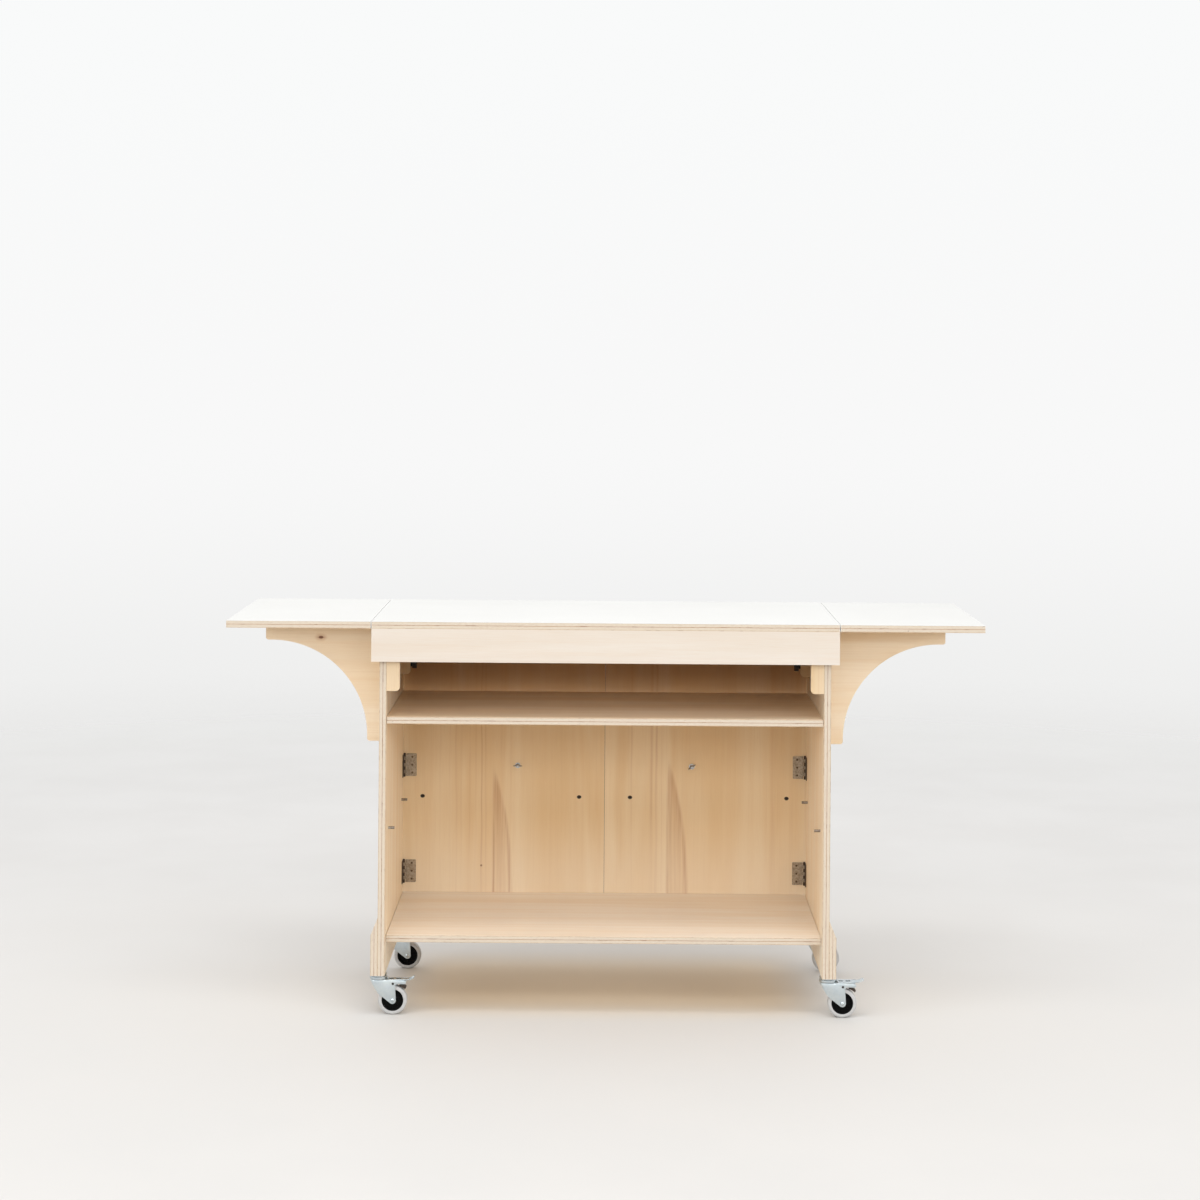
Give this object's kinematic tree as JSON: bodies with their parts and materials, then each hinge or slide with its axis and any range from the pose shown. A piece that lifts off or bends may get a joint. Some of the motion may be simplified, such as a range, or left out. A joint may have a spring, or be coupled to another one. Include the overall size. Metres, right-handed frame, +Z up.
{
  "type": "catering cart",
  "caption": "Plywood catering cart on swivel castors: open cabinet with loose shelf, rear doors, laminated worktop and hinged end flaps on swing brackets.",
  "frame": {"origin": "on the floor, under the middle of the cart", "axes": "+X to the right along the worktop, +Y from the open front to the rear doors, +Z up"},
  "size_m": [1.944, 0.6, 1.018],
  "materials": {
    "plywood": "birch plywood under a clear satin lacquer, striped ply edges",
    "white_laminate": "smooth satin laminate on plywood with bare striped edges",
    "zinc_steel": "bright zinc plating",
    "hinge_steel": "dark browned steel",
    "black_hub": "moulded black plastic",
    "grey_tyre": "matt pale grey non-marking rubber",
    "black_knob": "moulded black plastic"
  },
  "bodies": {
    "carcass": {"side_panel_left": "plywood", "side_panel_right": "plywood", "foot_doubler_left": "plywood", "foot_doubler_right": "plywood", "main_top": "white_laminate", "apron": "plywood", "guide_blocks": "plywood", "shelf_pegs": "zinc_steel", "butt_hinge_leaves": "hinge_steel", "flap_hinge_leaves": "hinge_steel", "castor_heads": "zinc_steel"},
    "lower_shelf": {"bottom_shelf": "plywood"},
    "upper_shelf": {"mid_shelf": "plywood"},
    "flap_left": {"flap_left": "white_laminate", "flap_hinge_left": "hinge_steel"},
    "bracket_left": {"bracket_left": "plywood", "bracket_hinge_left": "hinge_steel"},
    "door_left": {"rear_door_left": "plywood", "door_hinge_left": "hinge_steel", "wing_bolt_left": "zinc_steel"},
    "wing_nut_left": {"wing_nut_left": "zinc_steel"},
    "clamp_knob_left": {"clamp_knob_left": "black_knob"},
    "swivel_front_left": {"castor_fork_front_left": "zinc_steel"},
    "wheel_front_left": {"castor_hub_front_left": "black_hub", "castor_tyre_front_left": "grey_tyre"},
    "swivel_rear_left": {"castor_fork_rear_left": "zinc_steel"},
    "wheel_rear_left": {"castor_hub_rear_left": "black_hub", "castor_tyre_rear_left": "grey_tyre"},
    "brake_left": {"brake_pedal_left": "zinc_steel"},
    "flap_right": {"flap_right": "white_laminate", "flap_hinge_right": "hinge_steel"},
    "bracket_right": {"bracket_right": "plywood", "bracket_hinge_right": "hinge_steel"},
    "door_right": {"rear_door_right": "plywood", "door_hinge_right": "hinge_steel", "wing_bolt_right": "zinc_steel"},
    "wing_nut_right": {"wing_nut_right": "zinc_steel"},
    "clamp_knob_right": {"clamp_knob_right": "black_knob"},
    "swivel_front_right": {"castor_fork_front_right": "zinc_steel"},
    "wheel_front_right": {"castor_hub_front_right": "black_hub", "castor_tyre_front_right": "grey_tyre"},
    "swivel_rear_right": {"castor_fork_rear_right": "zinc_steel"},
    "wheel_rear_right": {"castor_hub_rear_right": "black_hub", "castor_tyre_rear_right": "grey_tyre"},
    "brake_right": {"brake_pedal_right": "zinc_steel"}
  },
  "joints": [
    {"name": "upper_shelf_slide", "type": "slide", "parent": "carcass", "child": "upper_shelf", "axis": [0, -1, 0], "range_m": [0, 0.5]},
    {"name": "lower_shelf_slide", "type": "slide", "parent": "carcass", "child": "lower_shelf", "axis": [0, -1, 0], "range_m": [0, 0.5]},
    {"name": "flap_left_hinge", "type": "hinge", "parent": "carcass", "child": "flap_left", "pos_m": [-0.601, 0, 0.9967], "axis": [0, 1, 0], "range_deg": [0, 4]},
    {"name": "bracket_left_swing", "type": "hinge", "parent": "carcass", "child": "bracket_left", "pos_m": [-0.5833, -0.1277, 0.8447], "axis": [0, 0, -1], "range_deg": [0, 90]},
    {"name": "door_left_hinge", "type": "hinge", "parent": "carcass", "child": "door_left", "pos_m": [-0.5587, 0.2787, 0.41], "axis": [0, 0, 1], "range_deg": [0, 90]},
    {"name": "wing_nut_left_turn", "type": "hinge", "parent": "door_left", "child": "wing_nut_left", "pos_m": [-0.243, 0.28, 0.558], "axis": [0, -1, 0], "range_deg": [0, 360]},
    {"name": "clamp_knob_left_turn", "type": "hinge", "parent": "carcass", "child": "clamp_knob_left", "pos_m": [-0.52, 0.075, 0.868], "axis": [1, 0, 0], "range_deg": [0, 360]},
    {"name": "castor_front_left_swivel", "type": "hinge", "parent": "carcass", "child": "swivel_front_left", "pos_m": [-0.58, -0.243, 0.09], "axis": [0, 0, 1], "continuous": true},
    {"name": "castor_front_left_roll", "type": "hinge", "parent": "swivel_front_left", "child": "wheel_front_left", "pos_m": [-0.543, -0.243, 0.0375], "axis": [0, 1, 0], "continuous": true},
    {"name": "castor_rear_left_swivel", "type": "hinge", "parent": "carcass", "child": "swivel_rear_left", "pos_m": [-0.58, 0.243, 0.09], "axis": [0, 0, 1], "continuous": true},
    {"name": "castor_rear_left_roll", "type": "hinge", "parent": "swivel_rear_left", "child": "wheel_rear_left", "pos_m": [-0.543, 0.243, 0.0375], "axis": [0, 1, 0], "continuous": true},
    {"name": "brake_left_press", "type": "hinge", "parent": "swivel_front_left", "child": "brake_left", "pos_m": [-0.542, -0.243, 0.0804], "axis": [0, 1, 0], "range_deg": [0, 8]},
    {"name": "flap_right_hinge", "type": "hinge", "parent": "carcass", "child": "flap_right", "pos_m": [0.601, 0, 0.9967], "axis": [0, -1, 0], "range_deg": [0, 4]},
    {"name": "bracket_right_swing", "type": "hinge", "parent": "carcass", "child": "bracket_right", "pos_m": [0.5833, -0.1277, 0.8447], "axis": [0, 0, 1], "range_deg": [0, 90]},
    {"name": "door_right_hinge", "type": "hinge", "parent": "carcass", "child": "door_right", "pos_m": [0.5587, 0.2787, 0.41], "axis": [0, 0, -1], "range_deg": [0, 90]},
    {"name": "wing_nut_right_turn", "type": "hinge", "parent": "door_right", "child": "wing_nut_right", "pos_m": [0.243, 0.28, 0.558], "axis": [0, -1, 0], "range_deg": [0, 360]},
    {"name": "clamp_knob_right_turn", "type": "hinge", "parent": "carcass", "child": "clamp_knob_right", "pos_m": [0.52, 0.075, 0.868], "axis": [1, 0, 0], "range_deg": [0, 360]},
    {"name": "castor_front_right_swivel", "type": "hinge", "parent": "carcass", "child": "swivel_front_right", "pos_m": [0.58, -0.243, 0.09], "axis": [0, 0, 1], "continuous": true},
    {"name": "castor_front_right_roll", "type": "hinge", "parent": "swivel_front_right", "child": "wheel_front_right", "pos_m": [0.617, -0.243, 0.0375], "axis": [0, 1, 0], "continuous": true},
    {"name": "castor_rear_right_swivel", "type": "hinge", "parent": "carcass", "child": "swivel_rear_right", "pos_m": [0.58, 0.243, 0.09], "axis": [0, 0, 1], "continuous": true},
    {"name": "castor_rear_right_roll", "type": "hinge", "parent": "swivel_rear_right", "child": "wheel_rear_right", "pos_m": [0.617, 0.243, 0.0375], "axis": [0, 1, 0], "continuous": true},
    {"name": "brake_right_press", "type": "hinge", "parent": "swivel_front_right", "child": "brake_right", "pos_m": [0.618, -0.243, 0.0804], "axis": [0, 1, 0], "range_deg": [0, 8]}
  ]
}
